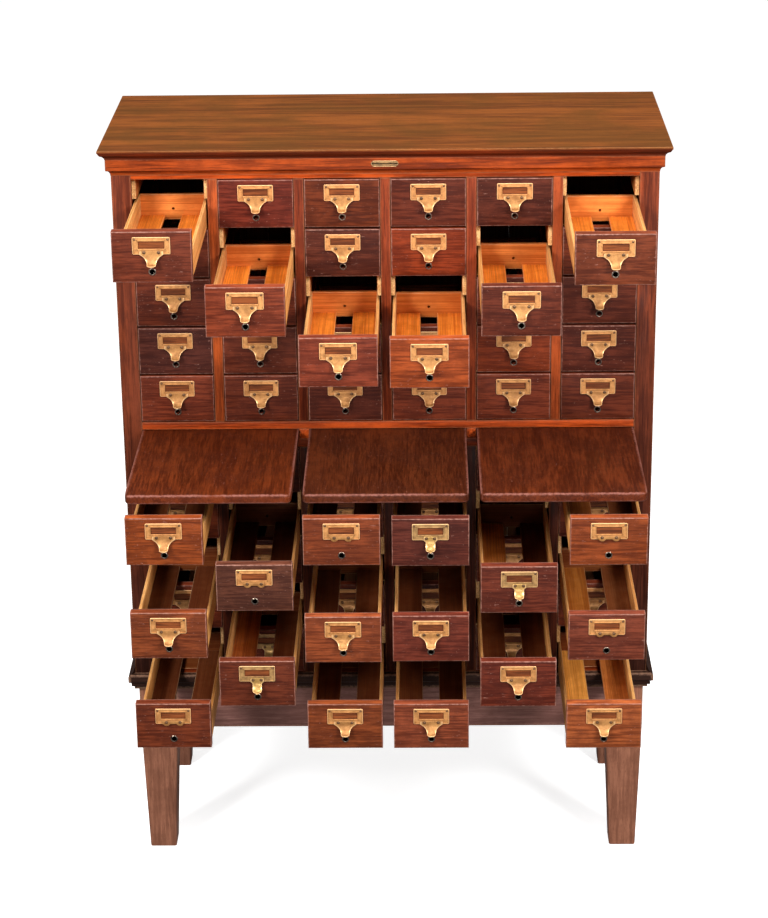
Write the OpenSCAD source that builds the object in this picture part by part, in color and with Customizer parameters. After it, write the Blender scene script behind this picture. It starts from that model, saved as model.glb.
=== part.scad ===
// Oak card-catalogue cabinet: thirty small drawers above three pull-out shelves,
// thirty more below, on a stand with four tapered legs.
// Millimetres, +Z up, front towards -Y. The origin is on the floor, under the
// middle of the cabinet as it stands with its open drawers.

/* [Case] */
// Width of one drawer column, centre to centre
column_pitch = 170; // [140:1:210]
// Height of one drawer row, top to top
row_pitch = 101.6; // [84:0.1:125]
// Depth of the case without the top board's overhang
case_depth = 455; // [420:1:560]
// Thickness of the side panels and of the face frame
panel_thickness = 20; // [15:1:25]
// Thickness of the back panel
back_thickness = 8; // [5:1:12]
// Width of the uprights between the columns
stile_width = 20; // [14:1:20]
// Width of the uprights at the front corners
corner_stile_width = 38.5; // [30:0.5:50]
// Thickness of the partitions behind the uprights
partition_thickness = 12; // [8:1:14]
// Height of the rail over the top row
top_rail_height = 43; // [36:1:60]
// Height of the rail under the upper drawers
upper_rail_height = 16; // [12:1:24]
// Height of the rail under the shelves
lower_rail_height = 18; // [12:1:24]
// Height of the rail under the lower drawers
base_rail_height = 36; // [30:1:50]
// Thickness of the bottom board
bottom_board_thickness = 18; // [12:1:24]

/* [Drawers] */
// Gap beside a drawer front
front_side_gap = 1; // [0.5:0.5:5]
// Gap between a drawer front and the one under it
front_row_gap = 4.6; // [3.6:0.2:8]
// Thickness of a drawer front
front_thickness = 20; // [16:1:24]
// How far the closed fronts stand proud of the face frame
front_proud = 1.5; // [0:0.5:4]
// Chamfer round a drawer front
front_chamfer = 2; // [1:0.5:4]
// Gap behind a closed drawer
drawer_back_gap = 3.5; // [2:0.5:40]
// How far the front overhangs the box on each side
front_overhang = 2.5; // [2:0.5:6]
// Thickness of the box sides
side_thickness = 6; // [5:0.5:9]
// Height of the box sides and of the box back
side_height = 51.5; // [45:0.5:54]
// Thickness of the box back
box_back_thickness = 10; // [6:1:14]
// Thickness of the bottom planks
plank_thickness = 6; // [4:0.5:8]
// Height of the planks' underside above the sides' lower edge
plank_lift = 3.5; // [2:0.5:6]
// Width of the open slot between the two bottom planks
bottom_slot = 34; // [24:1:44]
// Diameter of the card rod's hole through the front
rod_hole = 9.5; // [7:0.5:11]
// Height of the rod hole above the front's lower edge
rod_hole_height = 20.5; // [18:0.5:24]
// Outer diameter of the metal ring round the rod hole
ring_diameter = 14; // [12.5:0.5:16]
// How far the ring stands out
ring_thickness = 1; // [0.5:0.5:2]
// Diameter of the small hole in the box back
back_hole = 6; // [4:0.5:8]
// Gap under a drawer's sides
slide_gap = 0.5; // [0.3:0.1:1]
// Glue line between the pieces of a drawer
glue_gap = 0.1; // [0.05:0.01:0.2]

/* [Pulled out] */
// Row 1, columns 1 to 6
row_1_out = [362, 0, 0, 0, 0, 399]; // [0:1:400]
// Row 2, columns 1 to 6
row_2_out = [0, 381, 0, 0, 385, 0]; // [0:1:400]
// Row 3, columns 1 to 6
row_3_out = [0, 0, 373, 382, 0, 0]; // [0:1:400]
// Row 6, columns 1 to 6
row_6_out = [374, 0, 379, 384, 0, 384]; // [0:1:400]
// Row 7, columns 1 to 6
row_7_out = [0, 364, 0, 0, 379, 0]; // [0:1:400]
// Row 8, columns 1 to 6
row_8_out = [362, 0, 384, 381, 0, 378]; // [0:1:400]
// Row 9, columns 1 to 6
row_9_out = [0, 367, 0, 0, 374, 0]; // [0:1:400]
// Row 10, columns 1 to 6
row_10_out = [347, 0, 352, 353, 0, 355]; // [0:1:400]
// The three shelves
shelf_out = 353; // [0:1:370]

/* [Runners] */
// How far a runner strip reaches into the drawer opening
runner_reach = 8; // [6:0.5:10]
// Play between a drawer's sides and the runners over them
runner_play = 4.6; // [2:0.2:10]
// Gap between a closed front and the runners behind it
runner_setback = 1.5; // [1:0.5:4]

/* [Brass] */
// Width of the label frame
label_width = 70; // [60:1:80]
// Height of the label frame
label_height = 32.5; // [28:0.5:36]
// Width of the label window
window_width = 52; // [44:1:56]
// Height of the label window
window_height = 17; // [14:0.5:20]
// Height of the frame's bar under the window
label_lower_bar = 9; // [6:0.5:11]
// Thickness of the label frame
label_thickness = 2.4; // [1.5:0.1:3]
// Distance from the front's top edge to the label frame
label_drop = 10; // [6:0.5:14]
// Width of the finger pull where it leaves the frame
pull_width = 44; // [36:1:50]
// Width of the finger pull's tip
pull_tip = 17; // [12:1:22]
// How far the finger pull hangs below the frame
pull_drop = 21; // [16:0.5:23]
// How far the finger pull curls forward from the label frame
pull_reach = 17; // [14:0.5:22]
// Height of the finger pull's flange over the frame's lower bar
flange_height = 8; // [5:0.5:9]
// Diameter of an upper screw's head
screw_head = 4; // [3:0.2:5]
// Diameter of a lower screw's head
lower_screw_head = 6.4; // [4.2:0.2:7]
// Height of a screw head
screw_dome = 0.9; // [0.5:0.1:1.5]
// Distance between the two lower screws
screw_spacing = 27; // [20:1:32]
// Thickness of the finger pull's metal
pull_metal = 1.8; // [1.2:0.1:2.5]
// Width of the small replacement pulls
small_pull_width = 26; // [20:1:32]
// Width of a small replacement pull's body
small_pull_body = 18; // [14:1:20]
// Length of the blank name plate
plate_length = 53; // [40:1:70]
// Height of the blank name plate
plate_height = 12; // [8:0.5:16]
// Thickness of the blank name plate
plate_thickness = 1.5; // [1:0.5:3]

/* [Shelves] */
// Thickness of a shelf
shelf_thickness = 19; // [15:0.5:19.5]
// Gap behind a closed shelf
shelf_back_gap = 11; // [2:1:40]
// How far a closed shelf stands proud of the face frame
shelf_proud = 4; // [0:0.5:8]
// Radius of a shelf's front corners
shelf_corner = 12; // [6:1:20]
// Gap beside a shelf
shelf_side_gap = 1; // [0.5:0.1:2]
// Gap under a shelf
shelf_under_gap = 0.5; // [0.3:0.1:1]
// Gap over a shelf
shelf_over_gap = 1.5; // [0.5:0.1:2]

/* [Top and mouldings] */
// Thickness of the top board
top_thickness = 20; // [16:1:28]
// Overhang of the top board at the front and sides
top_overhang = 23; // [14:1:35]
// Projection of the frieze under the top board
frieze_projection = 9; // [6:0.5:12]
// Height of the frieze's straight face
frieze_height = 24; // [18:1:30]
// Height of the cove under the frieze
cove_height = 11; // [6:1:12]
// Projection of the base moulding
base_projection = 14; // [10:0.5:20]
// Height of the cove above the base moulding along the sides
base_cove_height = 24; // [12:1:32]

/* [Stand] */
// Height of the stand
stand_height = 388; // [320:1:460]
// Height of the aprons
apron_height = 95; // [70:1:120]
// Thickness of the aprons
apron_thickness = 20; // [16:1:26]
// How far the stand is set in from the case
stand_inset = 5; // [2:1:12]
// Width of a leg at the top
leg_top = 78; // [66:1:90]
// Width of a leg at the floor
leg_foot = 56; // [40:1:64]
// How far a leg's outer faces come in at the floor
leg_taper = 8; // [4:1:12]

/* [Output] */
// Which piece to draw

/* [Hidden] */
$fn = 32;
columns = 6;
bank_rows = 5;
rows = 2 * bank_rows;
// how far the finger pulls curl, in degrees and in steps, and how steeply they narrow
pull_curl = 75;
curl_step = 15;
pull_flare = 3.4;
// the top board's edge: height of its lips and of its waist, and the waist's place
// across the overhang, as shares
lip_share = 0.15;
waist_height = 0.35;
waist_share = 0.45;
// the base moulding's two steps: [projection, height] as shares, and their slopes
moulding_steps = [[0.2, 0.17], [0.6, 0.47]];
step_slope = 2;
nose_chamfer = 3;
// height of a small replacement pull's shoulders, as a share of its drop
shoulder_share = 1 / 6;
// the lobes of a broken pull, and how far a small pull's screws keep from its ends, both
// as shares of a lower screw's head
lobe_share = 0.7;
edge_share = 1.6;

closed_row = [for (c = [1 : columns]) 0];
pulled = [row_1_out, row_2_out, row_3_out, closed_row, closed_row,
          row_6_out, row_7_out, row_8_out, row_9_out, row_10_out];
// closed drawers that slide as well: [column, row]
sliding_closed = [[2, 1], [3, 1], [4, 1], [5, 1], [3, 2], [4, 2],
                  [1, 5], [2, 5], [5, 5], [6, 5]];
// drawers whose finger pull is gone, and those with a small replacement
missing_pulls = [[3, 6], [2, 7], [6, 6], [6, 8], [1, 10]];
small_pulls = [[4, 6], [5, 7], [2, 9], [2, 10]];

bank_height = bank_rows * row_pitch;
base_top = stand_height + base_rail_height;
lower_top = base_top + bank_height;
shelf_floor = lower_top + lower_rail_height;
shelf_ceiling = shelf_floor + shelf_under_gap + shelf_thickness + shelf_over_gap;
upper_floor = shelf_ceiling + upper_rail_height;
upper_top = upper_floor + bank_height;
case_top = upper_top + top_rail_height;

inner_half = columns * column_pitch / 2 - stile_width / 2;
case_half = inner_half + corner_stile_width;
side_inner = case_half - panel_thickness;
back_inner = case_depth - back_thickness;
front_width = column_pitch - stile_width - 2 * front_side_gap;
front_height = row_pitch - front_row_gap;
drawer_length = back_inner + front_proud - drawer_back_gap;
shelf_length = back_inner + shelf_proud - shelf_back_gap;
box_half = front_width / 2 - front_overhang;
runner_half = (column_pitch - stile_width) / 2 - runner_reach;
runner_height = row_pitch - slide_gap - side_height - runner_play;
row_gap = front_row_gap / 2;
runner_front = max(panel_thickness, front_thickness - front_proud + runner_setback);
plank_top = slide_gap + plank_lift + plank_thickness;

furthest = max([for (line = pulled) max(line)]);
pull_plane = front_proud + label_thickness + 2 * glue_gap;
front_edge = -furthest - pull_plane - pull_reach;
middle = (front_edge + case_depth) / 2;

oak_case = [0.50, 0.20, 0.08];
oak_top = [0.42, 0.22, 0.11];
oak_front = [0.36, 0.14, 0.09];
oak_shelf = [0.34, 0.13, 0.06];
oak_leg = [0.48, 0.27, 0.18];
pale_wood = [0.85, 0.55, 0.22];
brass = [0.82, 0.58, 0.28];

function column_x(c) = (c - (columns + 1) / 2) * column_pitch;
function row_z(r) = r <= bank_rows ? upper_top - r * row_pitch
                                   : lower_top - (r - bank_rows) * row_pitch;
function is_in(list, c, r) = len([for (p = list) if (p == [c, r]) 1]) > 0;
function is_sliding(c, r) = pulled[r - 1][c - 1] > 0 || is_in(sliding_closed, c, r);
function drawer_name(c, r) = str("drawer_column_", c, "_row_", r);

shelf_names = ["shelf_left", "shelf_middle", "shelf_right"];

// ---- shapes that repeat ----

// A solid whose section [out, up] runs along X, with "out" towards -Y
module along_x(from, to, section)
    translate([from, 0, 0]) rotate([90, 0, 90])
        linear_extrude(to - from) polygon([for (p = section) [-p[0], p[1]]]);

module box(x, y, z) translate([x[0], y[0], z[0]])
    cube([x[1] - x[0], y[1] - y[0], z[1] - z[0]]);

// A moulding of one section on the front, left or right of the case, with
// mitred front corners
module front_moulding(section, reach) intersection() {
    along_x(-case_half - reach, case_half + reach, section);
    translate([0, 0, stand_height - 1]) linear_extrude(case_top)
        polygon([[glue_gap - case_half - reach, -reach], [case_half + reach - glue_gap, -reach],
                 [case_half - reach - glue_gap, reach], [glue_gap + reach - case_half, reach]]);
}

module left_moulding(section, reach) intersection() {
    translate([-case_half, 0, 0]) rotate([0, 0, -90])
        along_x(-case_depth, reach, section);
    translate([0, 0, stand_height - 1]) linear_extrude(case_top)
        polygon([[-case_half - reach, -reach], [-case_half + reach, reach],
                 [-case_half + reach, case_depth], [-case_half - reach, case_depth]]);
}

module side_mouldings(section, reach) {
    left_moulding(section, reach);
    mirror([1, 0, 0]) left_moulding(section, reach);
}

module on_both_sides() {
    children();
    mirror([1, 0, 0]) children();
}

// ---- drawer pieces, each drawn closed with its cell's lower centre at the origin ----

module drawer_front() {
    half = front_width / 2;
    back = front_thickness - front_proud;
    difference() {
        intersection() {
            along_x(-half, half, [
                [-back, row_gap], [front_proud - front_chamfer, row_gap],
                [front_proud, row_gap + front_chamfer],
                [front_proud, row_gap + front_height - front_chamfer],
                [front_proud - front_chamfer, row_gap + front_height],
                [-back, row_gap + front_height]]);
            linear_extrude(row_pitch) polygon([
                [-half, back], [-half, front_chamfer - front_proud],
                [front_chamfer - half, -front_proud],
                [half - front_chamfer, -front_proud],
                [half, front_chamfer - front_proud], [half, back]]);
        }
        translate([0, back, row_gap + rod_hole_height]) rotate([90, 0, 0])
            translate([0, 0, -front_thickness]) cylinder(d = rod_hole, h = 3 * front_thickness);
    }
}

module rod_ring() {
    translate([0, -front_proud - glue_gap, row_gap + rod_hole_height]) rotate([90, 0, 0])
        linear_extrude(ring_thickness) difference() {
            circle(d = ring_diameter);
            circle(d = rod_hole);
        }
}

module drawer_sides() {
    on_both_sides()
        box([box_half - side_thickness, box_half],
            [front_thickness - front_proud + glue_gap, drawer_length - front_proud],
            [slide_gap, slide_gap + side_height]);
}

module drawer_back(drilled) {
    inner = box_half - side_thickness - glue_gap;
    from = drawer_length - front_proud - box_back_thickness;
    difference() {
        box([-inner, inner], [from, from + box_back_thickness],
            [slide_gap, slide_gap + side_height]);
        if (drilled) translate([0, from, row_gap + rod_hole_height]) rotate([90, 0, 0])
            translate([0, 0, -2 * box_back_thickness])
                cylinder(d = back_hole, h = 4 * box_back_thickness);
    }
}

module drawer_planks() {
    on_both_sides()
        box([bottom_slot / 2, box_half - side_thickness - glue_gap],
            [front_thickness - front_proud + glue_gap,
             drawer_length - front_proud - box_back_thickness - glue_gap],
            [slide_gap + plank_lift, plank_top]);
}

label_top = row_pitch - row_gap - label_drop;
label_foot = label_top - label_height;

module label_frame() {
    translate([0, -front_proud - glue_gap, label_foot]) rotate([90, 0, 0])
        linear_extrude(label_thickness) difference() {
            translate([-label_width / 2, 0]) square([label_width, label_height]);
            translate([-window_width / 2, label_lower_bar])
                square([window_width, window_height]);
        }
}

// Side view of the flange and curled metal, cut to a front outline
module curled_pull(widest, outline) {
    bend = [for (a = [0 : curl_step : pull_curl]) a];
    function share(a) = (1 - cos(a)) / (1 - cos(pull_curl));
    function fall(a) = sin(a) / sin(pull_curl);
    translate([0, -pull_plane, label_foot]) intersection() {
        along_x(-widest, widest, concat(
            [[0, flange_height], [pull_metal, flange_height]],
            [for (a = bend) [pull_metal + (pull_reach - pull_metal) * share(a),
                             (pull_metal - pull_drop) * fall(a)]],
            [for (i = [len(bend) - 1 : -1 : 0]) [pull_reach * share(bend[i]),
                                                 -pull_drop * fall(bend[i])]]));
        rotate([90, 0, 0]) linear_extrude(3 * pull_reach, center = true)
            polygon(concat([[widest / 2, pull_drop]], outline,
                [for (i = [len(outline) - 1 : -1 : 0]) [-outline[i][0], outline[i][1]]],
                [[-widest / 2, pull_drop]]));
    }
}

module finger_pull() {
    tip = pull_tip / 2;
    flare = pull_width / 2 - tip;
    curled_pull(pull_width, concat(
        [for (t = [0 : 0.2 : 0.8]) [tip + flare * pow(1 - t, pull_flare), -t * pull_drop]],
        [[tip, -2 * pull_drop]]));
}

module small_pull() {
    body = small_pull_body / 2;
    shoulder = pull_drop * shoulder_share;
    curled_pull(small_pull_width, concat(
        [[small_pull_width / 2, -shoulder / 2], [body, -shoulder]],
        [for (a = [0 : 22.5 : 67.5])
            [body * cos(a), -(pull_drop - body) - body * sin(a)]]));
}

// The flange that is left where a pull has broken off, with a lobe at each screw
module broken_pull() {
    lobe = lower_screw_head * lobe_share;
    curled_pull(pull_width, [[pull_width / 2, pull_metal],
        [screw_spacing / 2 + lobe, -lobe], [screw_spacing / 2 - lobe, -lobe],
        [screw_spacing / 2 - 2 * lobe, -pull_metal / 2]]);
}

module drawer_pull(c, r) {
    if (is_in(small_pulls, c, r)) small_pull();
    else if (is_in(missing_pulls, c, r)) broken_pull();
    else finger_pull();
}

module screw(head, out) translate([0, -out, 0]) rotate([90, 0, 0])
    cylinder(d = head, h = screw_dome, $fn = 16);

module pull_screws(c, r) {
    corner = (label_width - window_width) / 4;
    lower = is_in(small_pulls, c, r) ? small_pull_width - lower_screw_head * edge_share
        : screw_spacing;
    on_both_sides() {
        translate([label_width / 2 - corner, 0, label_top - corner])
            screw(screw_head, front_proud + label_thickness + 2 * glue_gap);
        translate([lower / 2, 0, label_foot + flange_height / 2])
            screw(lower_screw_head, pull_plane + pull_metal + glue_gap);
    }
}

// ---- the case ----

module top_board() {
    edge = case_half + top_overhang;
    lip = top_thickness * lip_share;
    inner = frieze_projection + 1;
    waist = inner + (top_overhang - inner) * waist_share;
    side = [[edge, case_top + top_thickness], [edge, case_top + top_thickness - lip],
            [case_half + waist, case_top + top_thickness * waist_height],
            [case_half + inner, case_top + lip],
            [case_half + inner, case_top]];
    color(oak_top) intersection() {
        translate([0, case_depth, 0]) rotate([90, 0, 0])
            linear_extrude(case_depth + 2 * top_overhang)
            polygon(concat(side, [for (i = [len(side) - 1 : -1 : 0]) [-side[i][0], side[i][1]]]));
        along_x(-2 * case_half, 2 * case_half, concat(
            [for (p = side) [p[0] - case_half, p[1]]],
            [[-case_depth, case_top], [-case_depth, case_top + top_thickness]]));
    }
}

module cornice() {
    foot = case_top - frieze_height;
    section = concat(
        [[0, case_top], [frieze_projection, case_top]],
        [for (a = [0 : 22.5 : 90]) [frieze_projection * (1 - sin(a)),
                                    foot - cove_height * (1 - cos(a))]]);
    color(oak_case) {
        front_moulding(section, 2 * frieze_projection);
        side_mouldings(section, 2 * frieze_projection);
    }
}

module name_plate() {
    color(brass) translate([0, -frieze_projection, case_top - frieze_height / 2])
        rotate([90, 0, 0]) linear_extrude(plate_thickness) {
            square([plate_length - plate_height, plate_height], center = true);
            for (side = [-1, 1]) translate([side * (plate_length - plate_height) / 2, 0])
                circle(d = plate_height);
        }
}

module side_panel() {
    color(oak_case) box([side_inner, case_half], [panel_thickness, case_depth],
                        [stand_height, case_top]);
}

module side_panel_right() side_panel();

module side_panel_left() mirror([1, 0, 0]) side_panel();

module back_panel() {
    color(pale_wood) box([-side_inner, side_inner], [back_inner, case_depth],
                         [stand_height, case_top]);
}

module corner_stiles() {
    color(oak_case) on_both_sides()
        box([inner_half, case_half], [0, panel_thickness], [stand_height, case_top]);
}

module stiles() {
    color(oak_case) for (i = [1 : columns - 1], z = [base_top, upper_floor])
        translate([column_x(i + 0.5), 0, z])
            box([-stile_width / 2, stile_width / 2], [0, panel_thickness], [0, bank_height]);
}

module face_rails() {
    color(oak_case)
        for (z = [[stand_height, base_top], [lower_top, shelf_floor],
                  [shelf_ceiling, upper_floor], [upper_top, case_top]])
            box([-inner_half, inner_half], [0, panel_thickness], z);
}

module partitions() {
    color(pale_wood) for (i = [1 : columns - 1], z = [[base_top, lower_top], [upper_floor, case_top]])
        translate([column_x(i + 0.5), 0, 0])
            box([-partition_thickness / 2, partition_thickness / 2],
                [panel_thickness, back_inner], z);
}

module dust_boards() {
    color(pale_wood) for (z = [[base_top - bottom_board_thickness, base_top],
                               [lower_top, shelf_floor], [shelf_ceiling, upper_floor]])
        box([-side_inner, side_inner], [panel_thickness, back_inner], z);
}

// Strips that carry the drawer above and hold down the drawer they stand beside
module drawer_runners() {
    partition_face = column_pitch / 2 - partition_thickness / 2;
    panel_face = side_inner - column_x(columns);
    color(pale_wood) for (r = [1 : rows], c = [1 : columns], side = [-1, 1]) {
        outer = side * column_x(c) > column_x(columns - 0.5) ? panel_face : partition_face;
        top = row_z(r) + row_pitch;
        translate([column_x(c), 0, 0])
            box(side > 0 ? [runner_half, outer] : [-outer, -runner_half],
                [runner_front, back_inner], [top - runner_height, top]);
    }
}

module shelf_guides() {
    color(oak_case) {
        for (side = [-1, 1]) translate([side * column_pitch, 0, 0])
            box([-stile_width / 2, stile_width / 2], [0, back_inner], [shelf_floor, shelf_ceiling]);
        on_both_sides() box([inner_half, side_inner], [panel_thickness, back_inner],
                            [shelf_floor, shelf_ceiling]);
    }
}

// ---- the stand ----

module base_moulding() {
    nose = base_top - nose_chamfer;
    outs = [for (step = moulding_steps) base_projection * step[0]];
    ups = [for (step = moulding_steps) stand_height + base_rail_height * step[1]];
    lower = [[0, stand_height], [outs[0], stand_height],
             [outs[0], ups[0]], [outs[1], ups[0] + step_slope],
             [outs[1], ups[1]], [base_projection, ups[1] + step_slope]];
    front = concat(lower, [[base_projection, nose], [base_projection - nose_chamfer, base_top],
                           [0, base_top]]);
    side = concat(lower, [[base_projection, nose]],
        [for (a = [15 : 15 : 90]) [base_projection * (1 - sin(a)),
                                   nose + (base_cove_height + nose_chamfer) * (1 - cos(a))]]);
    color(oak_case) {
        front_moulding(front, 2 * base_projection);
        side_mouldings(side, 2 * base_projection);
    }
}

stand_half = case_half - stand_inset;
stand_back = case_depth - stand_inset;
apron_foot = stand_height - apron_height;

module apron_rails() {
    color(oak_case) {
        box([leg_top - stand_half, stand_half - leg_top],
            [stand_inset, stand_inset + apron_thickness], [apron_foot, stand_height]);
        box([leg_top - stand_half, stand_half - leg_top],
            [stand_back - apron_thickness, stand_back], [apron_foot, stand_height]);
        on_both_sides() box([stand_half - apron_thickness, stand_half],
            [stand_inset + leg_top, stand_back - leg_top], [apron_foot, stand_height]);
    }
}

// A leg at the left front; its outer faces are at zero
module leg() {
    color(oak_leg) {
        foot_end = leg_taper + leg_foot;
        polyhedron(
            points = [
                [leg_taper, leg_taper, 0], [foot_end, leg_taper, 0],
                [foot_end, foot_end, 0], [leg_taper, foot_end, 0],
                [0, 0, apron_foot], [leg_top, 0, apron_foot],
                [leg_top, leg_top, apron_foot], [0, leg_top, apron_foot],
                [0, 0, stand_height], [leg_top, 0, stand_height],
                [leg_top, leg_top, stand_height], [0, leg_top, stand_height]],
            faces = [[0, 1, 2, 3], [8, 11, 10, 9],
                     [4, 5, 1, 0], [5, 6, 2, 1], [6, 7, 3, 2], [7, 4, 0, 3],
                     [8, 9, 5, 4], [9, 10, 6, 5], [10, 11, 7, 6], [11, 8, 4, 7]]);
    }
}

module leg_front_left() translate([-stand_half, stand_inset, 0]) leg();

module leg_front_right() mirror([1, 0, 0]) leg_front_left();

module leg_back_left() translate([-stand_half, stand_back, 0]) mirror([0, 1, 0]) leg();

module leg_back_right() mirror([1, 0, 0]) leg_back_left();

// ---- drawers and shelves ----

module drawer(c, r) {
    translate([column_x(c), -pulled[r - 1][c - 1], row_z(r)]) {
        color(oak_front) drawer_front();
        color(pale_wood) {
            drawer_sides();
            drawer_back(true);
            drawer_planks();
        }
        color(brass) {
            label_frame();
            drawer_pull(c, r);
            pull_screws(c, r);
            rod_ring();
        }
    }
}

module at_closed_drawers() {
    for (r = [1 : rows], c = [1 : columns]) if (!is_sliding(c, r))
        translate([column_x(c), 0, row_z(r)]) {
            $column = c;
            $row = r;
            children();
        }
}

module closed_drawer_fronts() color(oak_front) at_closed_drawers() drawer_front();

module closed_drawer_boxes() color(pale_wood) at_closed_drawers() {
    drawer_sides();
    drawer_back(false);
    drawer_planks();
}

module closed_drawer_label_frames() color(brass) at_closed_drawers() label_frame();

module closed_drawer_pulls() color(brass) at_closed_drawers() drawer_pull($column, $row);

module closed_drawer_screws() color(brass) at_closed_drawers() pull_screws($column, $row);

module closed_drawer_rings() color(brass) at_closed_drawers() rod_ring();

module shelf(i) {
    half = column_pitch - stile_width / 2 - shelf_side_gap;
    front = -shelf_proud - shelf_out;
    color(oak_shelf) translate([(i - 1) * 2 * column_pitch, front, shelf_floor + shelf_under_gap])
        linear_extrude(shelf_thickness) {
            translate([-half, shelf_corner]) square([2 * half, shelf_length - shelf_corner]);
            translate([shelf_corner - half, 0]) square([2 * (half - shelf_corner), 2 * shelf_corner]);
            for (side = [-1, 1]) translate([side * (half - shelf_corner), shelf_corner])
                circle(r = shelf_corner);
        }
}

translate([0, -middle, 0]) {
    top_board();
    cornice();
    name_plate();
    side_panel_left();
    side_panel_right();
    back_panel();
    corner_stiles();
    stiles();
    face_rails();
    partitions();
    dust_boards();
    drawer_runners();
    shelf_guides();
    base_moulding();
    apron_rails();
    leg_front_left();
    leg_front_right();
    leg_back_left();
    leg_back_right();
    closed_drawer_fronts();
    closed_drawer_boxes();
    closed_drawer_label_frames();
    closed_drawer_pulls();
    closed_drawer_screws();
    closed_drawer_rings();
    for (i = [0 : 2])
        shelf(i);
    for (r = [1 : rows], c = [1 : columns]) if (is_sliding(c, r))
        drawer(c, r);
}
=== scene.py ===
import math
import random

import bmesh
import bpy
from mathutils import Matrix, Vector


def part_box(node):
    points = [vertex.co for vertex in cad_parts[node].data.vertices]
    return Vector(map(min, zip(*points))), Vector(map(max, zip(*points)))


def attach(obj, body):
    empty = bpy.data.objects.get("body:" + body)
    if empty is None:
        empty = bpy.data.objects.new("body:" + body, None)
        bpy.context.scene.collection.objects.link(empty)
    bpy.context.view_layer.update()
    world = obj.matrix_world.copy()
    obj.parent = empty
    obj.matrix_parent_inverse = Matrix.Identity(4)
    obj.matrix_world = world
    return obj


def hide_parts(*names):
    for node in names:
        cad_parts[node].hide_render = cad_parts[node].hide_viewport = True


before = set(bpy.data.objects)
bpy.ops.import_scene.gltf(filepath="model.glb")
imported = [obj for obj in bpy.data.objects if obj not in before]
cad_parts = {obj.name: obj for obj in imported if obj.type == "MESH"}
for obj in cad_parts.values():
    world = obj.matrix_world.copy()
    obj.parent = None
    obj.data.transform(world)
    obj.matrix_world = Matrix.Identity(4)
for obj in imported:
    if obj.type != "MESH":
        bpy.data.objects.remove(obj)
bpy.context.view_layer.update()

scene = bpy.context.scene
chance = random.Random(4917)

# sizes of the case, in metres, measured from the face frame's front plane

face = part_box("stiles")[0][1]
case = dict(pitchX=0.170, pitchZ=0.1016, depth=0.455, panel=0.020, back=0.008, stile=0.020,
            partition=0.012, half=0.5385, innerHalf=0.500, stand=0.388, baseTop=0.424,
            lowerTop=0.932, shelfFloor=0.950, shelfCeiling=0.971, upperFloor=0.987,
            upperTop=1.495, top=1.538, bottomBoard=0.018)
sideInner = case["half"] - case["panel"]
backInner = case["depth"] - case["back"]


def columnX(c):
    return (c - 3.5) * case["pitchX"]


def rowZ(r):
    if r <= 5:
        return case["upperTop"] - r * case["pitchZ"]
    return case["lowerTop"] - (r - 5) * case["pitchZ"]


def linear(colour):
    return tuple((v / 255 / 12.92) if v < 11 else ((v / 255 + 0.055) / 1.055) ** 2.4 for v in colour)


def near(colour, spread):
    k = 1 + chance.uniform(-spread, spread)
    return tuple(v * k * (1 + chance.uniform(-spread, spread) * 0.25) for v in linear(colour))


# a board's own position, half size, colour and seed travel with its vertices

def newShape():
    bm = bmesh.new()
    for name in ("place", "half", "tint"):
        bm.verts.layers.float_vector.new(name)
    bm.verts.layers.float.new("seed")
    bm.verts.layers.int.new("done")
    return bm


def mark(bm, grain, tint):
    layers = bm.verts.layers
    place, half, colour = (layers.float_vector[n] for n in ("place", "half", "tint"))
    seed, done = layers.float["seed"], layers.int["done"]
    fresh = [v for v in bm.verts if v[done] == 0]
    low = Vector([min(v.co[i] for v in fresh) for i in range(3)])
    high = Vector([max(v.co[i] for v in fresh) for i in range(3)])
    middle, reach = (low + high) / 2, (high - low) / 2
    first = "xyz".index(grain)
    order = [first] + [i for i in range(3) if i != first]
    own = chance.random()
    for v in fresh:
        at = v.co - middle
        v[place] = Vector([at[i] for i in order])
        v[half] = Vector([reach[i] for i in order])
        v[colour] = Vector(tint)
        v[seed] = own
        v[done] = 1
    return fresh


plain = (1, 1, 1)


def retint(bm, verts, tint):
    colour = bm.verts.layers.float_vector["tint"]
    for v in verts:
        v[colour] = Vector(tint)


def below(bm, level):
    return [v for v in bm.verts if v.co.z < level]


def piece(name, bm, material, body, nodes, angle=35):
    bmesh.ops.recalc_face_normals(bm, faces=bm.faces[:])
    bmesh.ops.translate(bm, vec=(0, face, 0), verts=bm.verts[:])
    mesh = bpy.data.meshes.new(name)
    bm.to_mesh(mesh)
    bm.free()
    mesh.attributes.remove(mesh.attributes["done"])
    mesh.shade_smooth()
    mesh.set_sharp_from_angle(angle=math.radians(angle))
    mesh.materials.append(material)
    obj = bpy.data.objects.new(name, mesh)
    scene.collection.objects.link(obj)
    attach(obj, body)
    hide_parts(*nodes)


def bevel(bm, edges, offset, segments):
    return bmesh.ops.bevel(bm, geom=list(edges), offset=offset, offset_type="OFFSET", segments=segments,
                           profile=0.5, affect="EDGES", material=-1, clamp_overlap=True)["verts"]


def roundCorners(bm, verts, radius, segments=8):
    bmesh.ops.bevel(bm, geom=verts, offset=radius, offset_type="OFFSET", segments=segments,
                    profile=0.5, affect="VERTICES", material=-1)


def board(bm, x, y, z, tint, grain="x", ease=0.001, segments=2):
    middle = [(a + b) / 2 for a, b in (x, y, z)]
    size = [b - a for a, b in (x, y, z)]
    made = bmesh.ops.create_cube(bm, size=1.0, matrix=Matrix.Translation(middle)
                                 @ Matrix.Diagonal((*size, 1)))
    bevel(bm, {e for v in made["verts"] for e in v.link_edges}, ease, segments)
    return mark(bm, grain, tint)


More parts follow.
